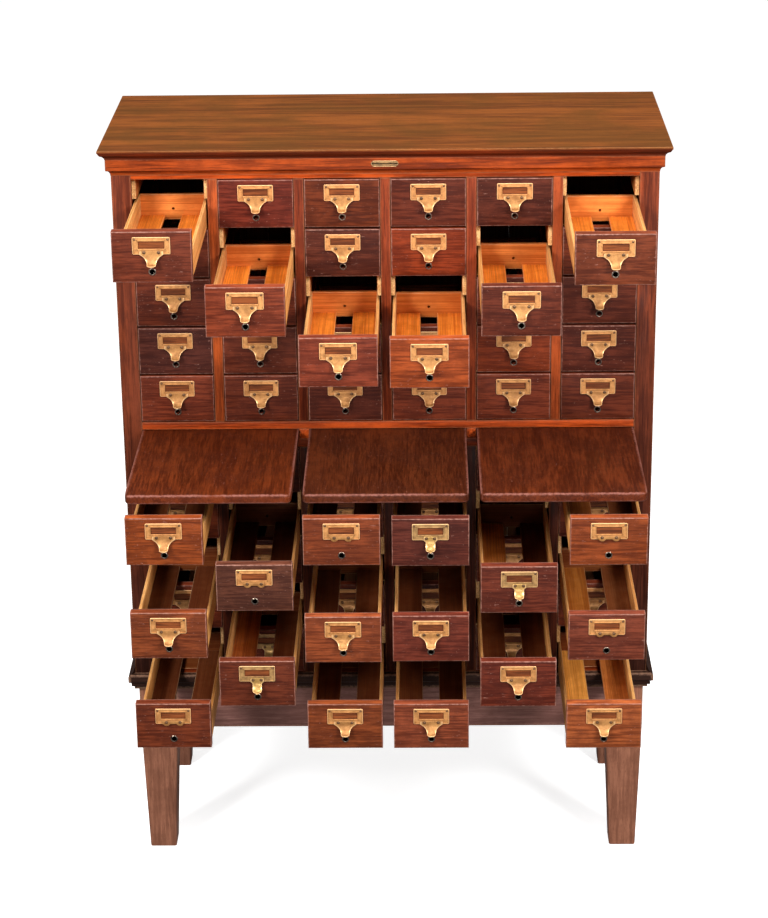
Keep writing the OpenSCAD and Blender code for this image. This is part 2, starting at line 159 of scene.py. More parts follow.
def stack(bm, rings):
    made = bmesh.ops.create_grid(bm, x_segments=1, y_segments=1, size=1.0)
    top = made["verts"][0].link_faces[0]
    for i, (x0, x1, y0, y1, z) in enumerate(rings):
        if i:
            out = bmesh.ops.extrude_face_region(bm, geom=[top])
            if i > 1:  # the extrusion leaves its old face inside
                bmesh.ops.delete(bm, geom=[top], context="FACES_ONLY")
            top = [g for g in out["geom"] if isinstance(g, bmesh.types.BMFace)][0]
        centre = top.calc_center_median()
        for v in top.verts:
            v.co = (x1 if v.co.x > centre.x else x0, y1 if v.co.y > centre.y else y0, z)


def moulding(bm, section, path):
    def at(station):
        x, y, outX, outY = station
        return [Vector((x + outX * out, y + outY * out, up)) for out, up in section]

    verts = [bm.verts.new(p) for p in at(path[0])]
    end = bm.faces.new(verts)
    for before, station in zip(path, path[1:]):
        out = bmesh.ops.extrude_face_region(bm, geom=[end])
        end = [g for g in out["geom"] if isinstance(g, bmesh.types.BMFace)][0]
        old, new = at(before), at(station)
        for v in end.verts:  # each corner of the section moves to its own place
            v.co = new[min(range(len(old)), key=lambda i: (v.co - old[i]).length)]


def drilled(bm, x, y, z, hole, tint, grain, ease, segments, around):
    hx, hz, radius = hole
    wide = radius * 1.25
    xs = (x[0], hx - wide, hx + wide, x[1])
    zs = (z[0], hz - wide, hz + wide, z[1])
    made = bmesh.ops.create_grid(bm, x_segments=3, y_segments=3, size=1.5)["verts"]
    for v in made:
        v.co = (xs[round(v.co.x + 1.5)], y[0], zs[round(v.co.y + 1.5)])
    cells = {f for v in made for f in v.link_faces}
    centre = [f for f in cells if abs(f.calc_center_median().x - hx) < wide
              and abs(f.calc_center_median().z - hz) < wide][0]
    square = list(centre.edges)
    bmesh.ops.delete(bm, geom=[centre], context="FACES_ONLY")
    corner = Matrix.Translation((hx, y[0], hz)) @ Matrix.Rotation(math.pi / 2, 4, "X") \
        @ Matrix.Rotation(math.pi / 4, 4, "Z")
    ring = bmesh.ops.create_circle(bm, cap_ends=False, radius=radius, segments=around, matrix=corner)
    rim = list({e for v in ring["verts"] for e in v.link_edges})
    bmesh.ops.subdivide_edges(bm, edges=square, cuts=around // 4 - 1)
    tiny = 1e-6
    outer = [e for e in bm.edges if len(e.link_faces) == 1
             and all(max(abs(v.co.x - hx), abs(v.co.z - hz)) < wide + tiny for v in e.verts)]
    bmesh.ops.bridge_loops(bm, edges=outer + rim)
    done = bm.verts.layers.int["done"]
    flat = [f for f in bm.faces if all(v[done] == 0 for v in f.verts)]
    out = bmesh.ops.extrude_face_region(bm, geom=flat)
    fresh = [g for g in out["geom"] if isinstance(g, bmesh.types.BMVert)]
    bmesh.ops.translate(bm, vec=(0, y[1] - y[0], 0), verts=fresh)

    def outline(v):
        return abs(v.co.x - x[0]) < tiny or abs(v.co.x - x[1]) < tiny \
            or abs(v.co.z - z[0]) < tiny or abs(v.co.z - z[1]) < tiny

    def onFace(v, plane):
        return abs(v.co.y - plane) < tiny

    chosen = [e for e in bm.edges if all(v[done] == 0 and outline(v) for v in e.verts)
              and (e.calc_length() > tiny)
              and len(e.link_faces) == 2 and e.calc_face_angle(0) > 1]
    front = [e for e in chosen if all(onFace(v, y[0]) for v in e.verts)]
    bevel(bm, front, ease, segments)
    return mark(bm, grain, tint)


class Graph:
    def __init__(self, name):
        self.material = bpy.data.materials.new(name)
        self.material.use_nodes = True
        self.tree = self.material.node_tree
        self.shader = self.tree.nodes["Principled BSDF"]

    def add(self, kind, values=None, **settings):
        node = self.tree.nodes.new("ShaderNode" + kind)
        for key, value in settings.items():
            setattr(node, key, value)
        for key, value in (values or {}).items():
            if isinstance(value, bpy.types.NodeSocket):
                self.tree.links.new(value, node.inputs[key])
            else:
                node.inputs[key].default_value = value
        return node.outputs[0]

    def attribute(self, name, output="Vector"):
        node = self.tree.nodes.new("ShaderNodeAttribute")
        node.attribute_name = name
        return node.outputs[output]

    def math(self, kind, *values):
        return self.add("Math", dict(enumerate(values)), operation=kind)

    def vector(self, kind, *values):
        return self.add("VectorMath", dict(enumerate(values)), operation=kind)

    def scale(self, vector, factor):
        node = self.tree.nodes.new("ShaderNodeVectorMath")
        node.operation = "SCALE"
        self.tree.links.new(vector, node.inputs[0])
        if isinstance(factor, bpy.types.NodeSocket):
            self.tree.links.new(factor, node.inputs["Scale"])
        else:
            node.inputs["Scale"].default_value = factor
        return node.outputs[0]

    def noise(self, vector, detail=3.0, roughness=0.5, distortion=0.0):
        return self.add("TexNoise", {"Vector": vector, "Scale": 1.0, "Detail": detail,
                                     "Roughness": roughness, "Distortion": distortion})

    def ramp(self, value, low, high, first=0.0, last=1.0):
        return self.add("MapRange", {"Value": value, "From Min": low, "From Max": high,
                                     "To Min": first, "To Max": last},
                        interpolation_type="SMOOTHSTEP")

    def mix(self, share, a, b):
        node = self.tree.nodes.new("ShaderNodeMix")
        node.data_type = "VECTOR"
        for index, value in ((0, share), (4, a), (5, b)):
            if isinstance(value, bpy.types.NodeSocket):
                self.tree.links.new(value, node.inputs[index])
            else:
                node.inputs[index].default_value = value
        return node.outputs[1]

    def edgeDistance(self):
        gap = self.vector("SUBTRACT", self.attribute("half"),
                          self.vector("ABSOLUTE", self.attribute("place")))
        parts = self.tree.nodes.new("ShaderNodeSeparateXYZ")
        self.tree.links.new(gap, parts.inputs[0])
        x, y, z = parts.outputs
        most = self.math("MAXIMUM", self.math("MAXIMUM", x, y), z)
        least = self.math("MINIMUM", self.math("MINIMUM", x, y), z)
        total = self.math("ADD", self.math("ADD", x, y), z)
        return self.math("SUBTRACT", self.math("SUBTRACT", total, most), least)

    def put(self, socket, value):
        if isinstance(value, bpy.types.NodeSocket):
            self.tree.links.new(value, self.shader.inputs[socket])
        else:
            self.shader.inputs[socket].default_value = value


# the wood behind a label frame's window kept its first colour; its edges are painted darker, as the
# shade of the frame's lip
windowTones = dict(dark=(0.07, 0.017, 0.005), light=(0.19, 0.05, 0.013),
                   lipShade=(0.03, 0.009, 0.004))
poreLook = dict(scale=(70.0, 1300.0, 1300.0), tone=(0.25, 0.22, 0.2))


def woodMaterial(name, look):
    g = Graph(name)
    seed = g.attribute("seed", "Fac")
    shift = g.vector("MULTIPLY", g.add("CombineXYZ", {0: seed, 1: seed, 2: seed}), (9.7, 4.3, 6.1))
    point = g.vector("ADD", g.attribute("place"), shift)
    fine = g.noise(g.vector("MULTIPLY", point, look["fine"]), 5.0, 0.65)
    band = g.noise(g.vector("MULTIPLY", point, look["band"]), 3.0, 0.55, look.get("swirl", 0.6))
    blotch = g.noise(g.scale(point, look.get("blotchScale", 14.0)), 4.0, 0.6)
    pore = g.noise(g.vector("MULTIPLY", point, poreLook["scale"]), 2.0, 0.5)
    tone = g.math("ADD", g.math("MULTIPLY", fine, look["fineShare"]),
                  g.math("MULTIPLY", band, 1 - look["fineShare"]))
    share = g.ramp(tone, 0.40, 0.60)
    base = g.vector("MULTIPLY", g.attribute("tint"), look["depth"])
    dark = g.vector("MULTIPLY", base, look["dark"])
    light = g.vector("MULTIPLY", base, look["light"])
    colour = g.mix(share, dark, light)
    colour = g.mix(g.math("MULTIPLY", g.ramp(blotch, 0.42, 0.62), look["stainShare"]),
                   colour, g.vector("MULTIPLY", base, look["stain"]))
    poreMask = g.ramp(pore, 0.60, 0.68)
    colour = g.mix(g.math("MULTIPLY", poreMask, look["pore"]), colour,
                   g.vector("MULTIPLY", base, poreLook["tone"]))
    if "fleck" in look:
        fleck = g.noise(g.vector("MULTIPLY", point, (45.0, 190.0, 190.0)), 1.0, 0.4, 1.4)
        colour = g.mix(g.math("MULTIPLY", g.ramp(fleck, 0.62, 0.70), look["fleck"]), colour, light)
    if "scratch" in look:
        scratch = g.noise(g.vector("MULTIPLY", point, (130.0, 420.0, 420.0)), 2.0, 0.5, 0.8)
        wornAndLit = g.math("MULTIPLY", g.ramp(scratch, 0.66, 0.74), g.ramp(blotch, 0.40, 0.60))
        colour = g.mix(g.math("MULTIPLY", wornAndLit, look["scratch"]), colour, look["wearAndHighlight"])
    if "window" in look:
        x, z, wide, high = look["window"]
        away = g.vector("ABSOLUTE", g.vector("SUBTRACT", g.attribute("place"), (x, 0.0, z)))
        parts = g.tree.nodes.new("ShaderNodeSeparateXYZ")
        g.tree.links.new(away, parts.inputs[0])
        inside = g.math("MULTIPLY", g.math("LESS_THAN", parts.outputs[0], wide),
                        g.math("LESS_THAN", parts.outputs[2], high))
        # painted shade of the frame's lip, darker towards the window's edges
        lipShade = g.math("MAXIMUM", g.ramp(parts.outputs[0], wide * 0.86, wide),
                        g.ramp(parts.outputs[2], high * 0.5, high))
        fresh = g.mix(share, windowTones["dark"], windowTones["light"])
        colour = g.mix(inside, colour, g.mix(lipShade, fresh, windowTones["lipShade"]))
    rough = g.noise(g.scale(point, 160.0), 3.0, 0.6)
    # real wear and painted highlight: the edges are lightened in rough patches, partly as rubbed wood
    # and partly as a highlight along the arrises and chamfers
    gap = g.math("ADD", g.edgeDistance(),
                 g.math("MULTIPLY", g.math("SUBTRACT", rough, 0.5), look["wearAndHighlightWidth"] * 1.6))
    wornAndLit = g.ramp(gap, look["wearAndHighlightWidth"] * 0.15, look["wearAndHighlightWidth"], 1.0, 0.0)
    patch = g.ramp(blotch, 0.30, 0.55, 0.35, 1.0)
    wornAndLit = g.math("MULTIPLY", g.math("MULTIPLY", wornAndLit, patch), look["wearAndHighlightShare"])
    colour = g.mix(wornAndLit, colour, look["wearAndHighlight"])
    g.put("Base Color", colour)
    low, high = look["roughness"]
    dull = g.math("ADD", blotch, g.math("MULTIPLY", fine, 0.4))
    g.put("Roughness", g.ramp(dull, 0.45, 0.85, low, high))
    g.put("Specular IOR Level", look["specular"])
    height = g.math("SUBTRACT", g.math("MULTIPLY", fine, 0.6), g.math("MULTIPLY", poreMask, 0.5))
    g.put("Normal", g.add("Bump", {"Height": height, "Strength": look["bump"], "Distance": 0.0006}))
    return g.material


def metalMaterial(name, look):
    g = Graph(name)
    seed = g.attribute("seed", "Fac")
    shift = g.vector("MULTIPLY", g.add("CombineXYZ", {0: seed, 1: seed, 2: seed}), (5.7, 8.3, 3.1))
    point = g.vector("ADD", g.attribute("place"), shift)
    cloud = g.noise(g.scale(point, 90.0), 5.0, 0.62)
    speck = g.noise(g.scale(point, 620.0), 3.0, 0.5)
    colour = g.mix(g.ramp(cloud, 0.30, 0.70), look["dark"], look["light"])
    colour = g.mix(g.math("MULTIPLY", g.ramp(speck, 0.58, 0.70), look["speck"]), colour, look["dirt"])
    # painted highlight: near the edges, and where the tint is above 1, the colour is mixed towards the
    # bright one; on the screws that colour is dark, so their head rims come out darker
    gap = g.math("ADD", g.edgeDistance(), g.math("MULTIPLY", g.math("SUBTRACT", speck, 0.5), 0.001))
    edge = g.math("MULTIPLY", g.ramp(gap, 0.0002, 0.0014, 1.0, 0.0), look["edge"])
    colour = g.mix(edge, colour, look["bright"])
    colour = g.mix(g.ramp(g.attribute("tint", "Fac"), 1.0, 2.0), colour, look["bright"])
    g.put("Base Color", colour)
    g.put("Metallic", look["metallic"])
    low, high = look["roughness"]
    g.put("Roughness", g.ramp(cloud, 0.25, 0.75, low, high))
    g.put("Normal", g.add("Bump", {"Height": speck, "Strength": look["bump"], "Distance": 0.0002}))
    return g.material


oak = dict(fine=(10.0, 190.0, 190.0), band=(2.0, 42.0, 42.0), fineShare=0.6,
           dark=(0.46, 0.38, 0.34), light=(1.55, 1.60, 1.50), stain=(0.58, 0.52, 0.50),
           stainShare=0.45, pore=0.5, wearAndHighlightWidth=0.003, wearAndHighlight=(0.26, 0.10, 0.045), wearAndHighlightShare=0.4,
           roughness=(0.36, 0.56), bump=0.25, depth=(0.60, 0.52, 0.42), specular=0.12)
caseOak = woodMaterial("caseOak", oak)
topOak = woodMaterial("topOak", dict(oak, depth=(0.72, 0.64, 0.43), dark=(0.64, 0.58, 0.54),
                                     light=(1.38, 1.30, 1.12), stain=(0.62, 0.80, 0.72),
                                     band=(1.4, 22.0, 22.0), swirl=1.4, fineShare=0.5,
                                     stainShare=0.55, blotchScale=5.0, wearAndHighlight=(0.30, 0.13, 0.05),
                                     wearAndHighlightShare=0.35, roughness=(0.56, 0.70)))
frontOak = woodMaterial("frontOak", dict(oak, fine=(16.0, 260.0, 260.0), band=(11.0, 75.0, 75.0),
                                         dark=(0.58, 0.50, 0.47), light=(1.38, 1.38, 1.28),
                                         fineShare=0.68, stainShare=0.5,
                                         stain=(0.50, 0.44, 0.46), blotchScale=20.0,
                                         # the fronts' pale pinkish edges are partly wear and partly a
                                         # painted chamfer highlight
                                         wearAndHighlight=(0.33, 0.165, 0.125), wearAndHighlightWidth=0.0023,
                                         wearAndHighlightShare=0.85, depth=(0.50, 0.42, 0.37), specular=0.10,
                                         scratch=0.5, window=(0.0, 0.0235, 0.0263, 0.0088)))
shelfOak = woodMaterial("shelfOak", dict(oak, fine=(22.0, 300.0, 300.0), band=(3.0, 26.0, 26.0),
                                         swirl=1.6, dark=(0.58, 0.50, 0.46),
                                         light=(1.45, 1.50, 1.40), fleck=0.35,
                                         wearAndHighlight=(0.26, 0.10, 0.075), wearAndHighlightWidth=0.005,
                                         wearAndHighlightShare=0.7, stainShare=0.5,
                                         depth=(0.76, 0.66, 0.50), scratch=0.5))
standOak = woodMaterial("standOak", dict(oak, dark=(0.74, 0.70, 0.68), light=(1.24, 1.26, 1.24),
                                         wearAndHighlight=(0.34, 0.18, 0.11), wearAndHighlightWidth=0.006,
                                         wearAndHighlightShare=0.55, stainShare=0.5, depth=(0.60, 0.55, 0.50),
                                         roughness=(0.42, 0.62)))
boxWood = woodMaterial("boxWood", dict(oak, fine=(5.0, 420.0, 420.0), band=(1.4, 50.0, 50.0),
                                       dark=(0.70, 0.58, 0.48), light=(1.20, 1.30, 1.40),
                                       stain=(0.62, 0.50, 0.42), stainShare=0.4, pore=0.3,
                                       wearAndHighlight=(0.80, 0.52, 0.28), wearAndHighlightShare=0.35, wearAndHighlightWidth=0.0015,
                                       roughness=(0.40, 0.6), bump=0.18,
                                       depth=(1.0, 0.95, 0.9)))

brassLook = dict(dark=(0.40, 0.17, 0.05), light=(0.64, 0.30, 0.10), dirt=(0.08, 0.035, 0.015),
                 bright=(0.95, 0.58, 0.27), speck=0.3, edge=0.85, metallic=0.5,
                 roughness=(0.42, 0.55), bump=0.06)
frameBrass = metalMaterial("frameBrass", brassLook)
pullBrass = metalMaterial("pullBrass", dict(brassLook, dark=(0.30, 0.125, 0.034), edge=0.0,
                                            light=(0.50, 0.235, 0.072), roughness=(0.40, 0.48)))
bronze = metalMaterial("bronze", dict(brassLook, dark=(0.24, 0.125, 0.045),
                                      light=(0.46, 0.26, 0.095)))
ringMetal = metalMaterial("ringMetal", dict(brassLook, dark=(0.05, 0.04, 0.035),
                                            light=(0.16, 0.12, 0.09), bright=(0.5, 0.4, 0.3),
                                            edge=0.5, metallic=0.9, roughness=(0.25, 0.4)))
newBrass = metalMaterial("newBrass", dict(brassLook, dark=(0.36, 0.20, 0.055), speck=0.05,
                                          light=(0.50, 0.29, 0.09), roughness=(0.33, 0.37),
                                          edge=0.0, bump=0.01))
screwMetal = metalMaterial("screwMetal", dict(brassLook, dark=(0.10, 0.05, 0.025), edge=0.0,
                                              light=(0.24, 0.12, 0.06), bright=(0.02, 0.012, 0.008),
                                              metallic=0.7, roughness=(0.3, 0.4)))
plateBrass = metalMaterial("plateBrass", dict(brassLook, dark=(0.10, 0.055, 0.022),
                                              light=(0.36, 0.21, 0.08), roughness=(0.35, 0.55)))
print("materials made")

# among these, the lower bank's stiles, partitions, runners, planks and drawer backs and the case's
# corner below the shelves are painted shade; the apron and legs are painted lighter, as light from
# below; the runners' front faces are partly painted light
colours = dict(top=(140, 84, 44), topEdge=(102, 40, 17), frieze=(160, 70, 26),
               corner=(140, 66, 40), cornerFootShade=(62, 36, 32), rail=(188, 80, 30),
               lowerRail=(150, 64, 30), side=(120, 58, 34), moulding=(66, 42, 34),
               apron=(168, 124, 118), leg=(174, 120, 98), inside=(128, 70, 34),
               lowerInsideShade=(84, 44, 22), lowerStileShade=(88, 40, 26), back=(120, 72, 42),
               runner=(176, 112, 58), lowerRunnerShade=(112, 64, 34), runnerTip=(240, 194, 132),
               plank=(232, 134, 46), lowerPlankShade=(104, 54, 28), boxSide=(220, 160, 94),
               boxBack=(196, 110, 48), lowerBackShade=(112, 60, 30))

# the moulded edge, as how far it stands out and how far up
topBoard = dict(thickness=0.020, backEase=0.0006,
                edge=((0.010, 0), (0.010, 0.0022), (0.0112, 0.003), (0.0124, 0.0048),
                      (0.0146, 0.0066), (0.0178, 0.0082), (0.0200, 0.0106), (0.0212, 0.0130),
                      (0.0216, 0.0142), (0.0228, 0.0146), (0.0230, 0.0154), (0.0230, 0.0190),
                      (0.0222, 0.0200)))
bm = newShape()
stack(bm, [(-case["half"] - out, case["half"] + out, -out,
            case["depth"] - (topBoard["backEase"] if up in (0, topBoard["thickness"]) else 0),
            case["top"] + up) for out, up in topBoard["edge"]])
mark(bm, "x", linear(colours["top"]))
retint(bm, below(bm, case["top"] + topBoard["thickness"] - 0.0012), linear(colours["topEdge"]))
piece("topBoard", bm, topOak, "cabinet", ["top_board"])

cornice = dict(projection=0.009, height=0.024, cove=0.011, ease=0.0012)
foot = case["top"] - cornice["height"]
section = [(0, case["top"]), (cornice["projection"], case["top"]),
           (cornice["projection"], foot + cornice["ease"]),
           (cornice["projection"] - cornice["ease"], foot)]
section += [(cornice["projection"] * (1 - math.sin(a)) * 0.86,
             foot - cornice["cove"] * (1 - math.cos(a)))
            for a in (math.radians(d) for d in (6, 20, 35, 50, 65, 80, 90))]
mitre = 0.0002


def mouldingRun(bm, profiles, tint):
    h, d = case["half"], case["depth"]
    moulding(bm, profiles["side"], [(-h, d, -1, 0), (-h - mitre, -mitre, -1, -1)])
    mark(bm, "y", tint)
    moulding(bm, profiles["front"], [(-h + 2 * mitre, 0, -1, -1), (h - 2 * mitre, 0, 1, -1)])
    mark(bm, "x", tint)
    moulding(bm, profiles["side"], [(h, d, 1, 0), (h + mitre, -mitre, 1, -1)])
    mark(bm, "y", tint)


bm = newShape()
mouldingRun(bm, {"side": section, "front": section}, linear(colours["frieze"]))
piece("cornice", bm, caseOak, "cabinet", ["cornice"], 25)

plate = dict(length=0.053, height=0.012, thickness=0.0015, edge=0.0003,
             steps=((0.0004, 0.0003), (0.0007, 0.0), (0.0003, -0.0003)))
bm = newShape()
made = bmesh.ops.create_grid(bm, x_segments=1, y_segments=1, size=1.0)["verts"]
for v in made:
    v.co = (v.co.x * plate["length"] / 2, -cornice["projection"],
            case["top"] - cornice["height"] / 2 + v.co.y * plate["height"] / 2)
roundCorners(bm, made, plate["height"] * 0.499)
out = bmesh.ops.extrude_face_region(bm, geom=bm.faces[:])
fresh = [g for g in out["geom"] if isinstance(g, bmesh.types.BMVert)]
bmesh.ops.translate(bm, vec=(0, plate["edge"] - plate["thickness"], 0), verts=fresh)
lid = [g for g in out["geom"] if isinstance(g, bmesh.types.BMFace)]
for wide, deep in plate["steps"]:
    rising = deep > 0
    bmesh.ops.inset_region(bm, faces=lid, thickness=wide, depth=deep, use_even_offset=rising)
mark(bm, "x", plain)
piece("namePlate", bm, plateBrass, "cabinet", ["name_plate"])

base = dict(projection=0.014, cove=0.024)
z0, z1 = case["stand"], case["baseTop"]
lower = [(0, z0), (0.0028, z0), (0.0028, z0 + 0.0055), (0.0040, z0 + 0.0062), (0.0052, z0 + 0.0066),
         (0.0078, z0 + 0.0080), (0.0084, z0 + 0.0095), (0.0084, z0 + 0.0155), (0.0096, z0 + 0.0166),
         (0.0108, z0 + 0.0172), (0.0130, z0 + 0.0184), (0.0140, z0 + 0.0200), (0.0140, z1 - 0.0050),
         (0.0136, z1 - 0.0036)]
frontSection = lower + [(0.0122, z1 - 0.0016), (0.0104, z1 - 0.0002), (0, z1)]
sideSection = lower + [(base["projection"] * (1 - math.sin(a)),
                        z1 - 0.003 + (base["cove"] + 0.003) * (1 - math.cos(a)))
                       for a in (math.radians(d) for d in (12, 24, 36, 48, 60, 72, 82, 90))]
bm = newShape()
mouldingRun(bm, {"side": sideSection, "front": frontSection}, linear(colours["moulding"]))
piece("baseMoulding", bm, standOak, "cabinet", ["base_moulding"], 25)
print("top and mouldings made")

h, inner, panel = case["half"], case["innerHalf"], case["panel"]
seam = 0.0002  # between boards that meet
for side, name in ((-1, "side_panel_left"), (1, "side_panel_right")):
    bm = newShape()
    x = sorted((side * sideInner, side * h))
    board(bm, x, (panel + seam, case["depth"]), (case["stand"], case["top"] - seam),
          near(colours["side"], 0.1), "z")
    # painted shade: darker below the shelves
    retint(bm, below(bm, case["shelfFloor"]), linear(colours["cornerFootShade"]))
    piece("sidePanelLeft" if side < 0 else "sidePanelRight", bm, caseOak, "cabinet", [name])

bm = newShape()
slats = 4
wide = 2 * sideInner / slats
for i in range(slats):
    x0 = -sideInner + i * wide
    board(bm, (x0 + 0.0001, x0 + wide - 0.0001), (backInner + seam, case["depth"]),
          (case["stand"], case["top"] - seam), near(colours["back"], 0.12), "z", 0.0012)
piece("backBoards", bm, boxWood, "cabinet", ["back_panel"])

bm = newShape()
for side in (-1, 1):
    board(bm, sorted((side * inner, side * h)), (0, panel), (case["stand"], case["top"] - seam),
          near(colours["corner"], 0.06), "z")
# painted shade: darker below the shelves
retint(bm, below(bm, case["shelfFloor"]), linear(colours["cornerFootShade"]))
piece("cornerStiles", bm, caseOak, "cabinet", ["corner_stiles"])

# painted light and shade: each upper stile is lighter or darker for how the light falls on it, and the
# lower stiles are painted dark as shade
stileLightAndShade = {1: (166, 78, 36), 2: (108, 44, 22), 3: (132, 58, 30), 4: (138, 60, 34), 5: (158, 74, 38)}
bm = newShape()
for i in range(1, 6):
    for z in (case["baseTop"], case["upperFloor"]):
        x = columnX(i + 0.5)
        board(bm, (x - case["stile"] / 2, x + case["stile"] / 2), (seam, panel),
              (z + seam, z + 5 * case["pitchZ"] - seam),
              near(stileLightAndShade[i] if z > case["shelfFloor"] else colours["lowerStileShade"], 0.05), "z")
piece("stiles", bm, caseOak, "cabinet", ["stiles"])

bm = newShape()
for z in ((case["stand"], case["baseTop"]), (case["lowerTop"], case["shelfFloor"]),
          (case["shelfCeiling"], case["upperFloor"]), (case["upperTop"], case["top"])):
    board(bm, (-inner + seam, inner - seam), (0.0001, panel), (z[0], z[1] - seam),
          near(colours["rail" if z[0] > case["lowerTop"] else "lowerRail"], 0.05), "x")
piece("faceRails", bm, caseOak, "cabinet", ["face_rails"])

bm = newShape()
for i in range(1, 6):
    for z in ((case["baseTop"], case["lowerTop"]), (case["upperFloor"], case["top"])):
        x = columnX(i + 0.5)
        board(bm, (x - case["partition"] / 2, x + case["partition"] / 2),
              (panel + seam, backInner - seam), (z[0] + seam, z[1] - 0.0004),
              # painted shade: the lower bank's partitions are darker
              near(colours["inside" if z[0] > case["shelfFloor"] else "lowerInsideShade"], 0.1), "z",
              0.0005, 1)
piece("partitions", bm, boxWood, "cabinet", ["partitions"])

bm = newShape()
for z in ((case["baseTop"] - case["bottomBoard"], case["baseTop"]),
          (case["lowerTop"], case["shelfFloor"]), (case["shelfCeiling"], case["upperFloor"])):
    board(bm, (-sideInner + seam, sideInner - seam), (panel + seam, backInner - seam),
          z, near(colours["inside"], 0.1), "x", 0.0005, 1)
piece("dustBoards", bm, boxWood, "cabinet", ["dust_boards"])

runner = dict(half=0.067, front=0.020, height=0.045, ease=0.0012)
bm = newShape()
for r in range(1, 11):
    for c in range(1, 7):
        for side in (-1, 1):
            ending = (c == 1 and side < 0) or (c == 6 and side > 0)
            outer = sideInner - abs(columnX(6)) if ending else \
                case["pitchX"] / 2 - case["partition"] / 2
            x = sorted((columnX(c) + side * runner["half"], columnX(c) + side * (outer - seam)))
            top = rowZ(r) + case["pitchZ"]
            fresh = board(bm, x, (runner["front"] + 0.0004, backInner - 0.0004),
                          (top - runner["height"], top - seam),
                          # painted shade: the lower bank's runners are darker
                          near(colours["runner" if r < 6 else "lowerRunnerShade"], 0.12), "y",
                          runner["ease"])
            # the runners' front faces are pale, partly as the fresh end of the wood and partly as
            # painted light, with the sides left darker as painted shade
            tip = min(v.co.y for v in fresh) + 1e-5
            retint(bm, [v for v in fresh if v.co.y < tip], near(colours["runnerTip"], 0.06))
piece("drawerRunners", bm, boxWood, "cabinet", ["drawer_runners"])

bm = newShape()
guide = dict(near=0.160, far=0.180)
for x in ((-guide["far"], -guide["near"]), (guide["near"], guide["far"]), (-sideInner, -inner),
          (inner, sideInner)):
    start = seam if guide["near"] in map(abs, x) else panel + seam
    board(bm, x, (start, backInner - seam),
          (case["shelfFloor"] + seam, case["shelfCeiling"] - seam),
          near(colours["rail"], 0.08), "y")
piece("shelfGuides", bm, caseOak, "cabinet", ["shelf_guides"])
print("case made")

stand = dict(inset=0.005, apron=0.095, thickness=0.020, legTop=0.078, legFoot=0.056, taper=0.008,
             legRound=0.004, legEase=0.0015, apronEase=0.0014)
standSeam = 0.0003
standHalf, standBack = h - stand["inset"], case["depth"] - stand["inset"]
apronFoot = case["stand"] - stand["apron"]
# painted light: the apron rails' colour is lighter than their wood, standing in for light from below
bm = newShape()
reach = standHalf - stand["legTop"]
for y in ((stand["inset"], stand["inset"] + stand["thickness"]),
          (standBack - stand["thickness"], standBack)):
    board(bm, (-reach + standSeam, reach - standSeam), y, (apronFoot, case["stand"] - standSeam),
          near(colours["apron"], 0.06), "x", stand["apronEase"])
for side in (-1, 1):
    board(bm, sorted((side * (standHalf - stand["thickness"]), side * standHalf)),
          (stand["inset"] + stand["legTop"] + standSeam, standBack - stand["legTop"] - standSeam),
          (apronFoot, case["stand"] - standSeam), near(colours["apron"], 0.06), "y",
          stand["apronEase"])
piece("apronRails", bm, standOak, "cabinet", ["apron_rails"])

for name, sx, sy in (("leg_front_left", -1, -1), ("leg_front_right", 1, -1),
                     ("leg_back_left", -1, 1), ("leg_back_right", 1, 1)):
    bm = newShape()
    rings = []
    for out, wide, z in ((stand["taper"], stand["legFoot"], 0.0), (0.0, stand["legTop"], apronFoot),
                         (0.0, stand["legTop"], case["stand"] - standSeam)):
        x = sorted((sx * (standHalf - out), sx * (standHalf - out - wide)))
        y = (stand["inset"] + out, stand["inset"] + out + wide) if sy < 0 else \
            (standBack - out - wide, standBack - out)
        rings.append((*x, *y, z))
    stack(bm, rings)
    uprights = [e for e in bm.edges if abs(e.verts[0].co.z - e.verts[1].co.z) > 0.01]
    bevel(bm, uprights, stand["legRound"], 3)
    rims = [e for e in bm.edges if e.calc_face_angle(0) > 1]
    bevel(bm, rims, stand["legEase"], 2)
    # painted light: the legs' colour is lightened, standing in for light from below
    mark(bm, "z", near(colours["leg"], 0.05))
    piece(name.replace("_", ""), bm, standOak, "cabinet", [name])
print("stand made")

shelf = dict(half=0.159, length=0.440, thickness=0.019, proud=0.004, out=0.353, corner=0.012,
             round=0.0045, gap=0.0005)
shelfColours = ((96, 42, 20), (82, 38, 21), (92, 41, 22))
for i, name in enumerate(("shelf_left", "shelf_middle", "shelf_right")):
    bm = newShape()
    made = bmesh.ops.create_grid(bm, x_segments=1, y_segments=1, size=1.0)["verts"]
    y0 = -shelf["proud"] - shelf["out"]
    for v in made:
        v.co = (v.co.x * shelf["half"], y0 + (v.co.y + 1) / 2 * shelf["length"],
                case["shelfFloor"] + shelf["gap"])
    ahead = [v for v in made if v.co.y < y0 + 0.01]
    roundCorners(bm, ahead, shelf["corner"])
    out = bmesh.ops.extrude_face_region(bm, geom=bm.faces[:])
    fresh = [g for g in out["geom"] if isinstance(g, bmesh.types.BMVert)]
    bmesh.ops.translate(bm, vec=(0, 0, shelf["thickness"]), verts=fresh)
    nose = [e for e in bm.edges if abs(e.verts[0].co.z - e.verts[1].co.z) < 1e-6
            and max(v.co.y for v in e.verts) < y0 + shelf["corner"] + 1e-4]
    bevel(bm, nose, shelf["round"], 4)
    bmesh.ops.translate(bm, vec=((i - 1) * 2 * case["pitchX"], 0, 0), verts=bm.verts[:])
    mark(bm, "y", linear(shelfColours[i]))
    piece("shelf" + name.split("_")[1].capitalize(), bm, shelfOak, name + "_slide", [name])
print("shelves made")

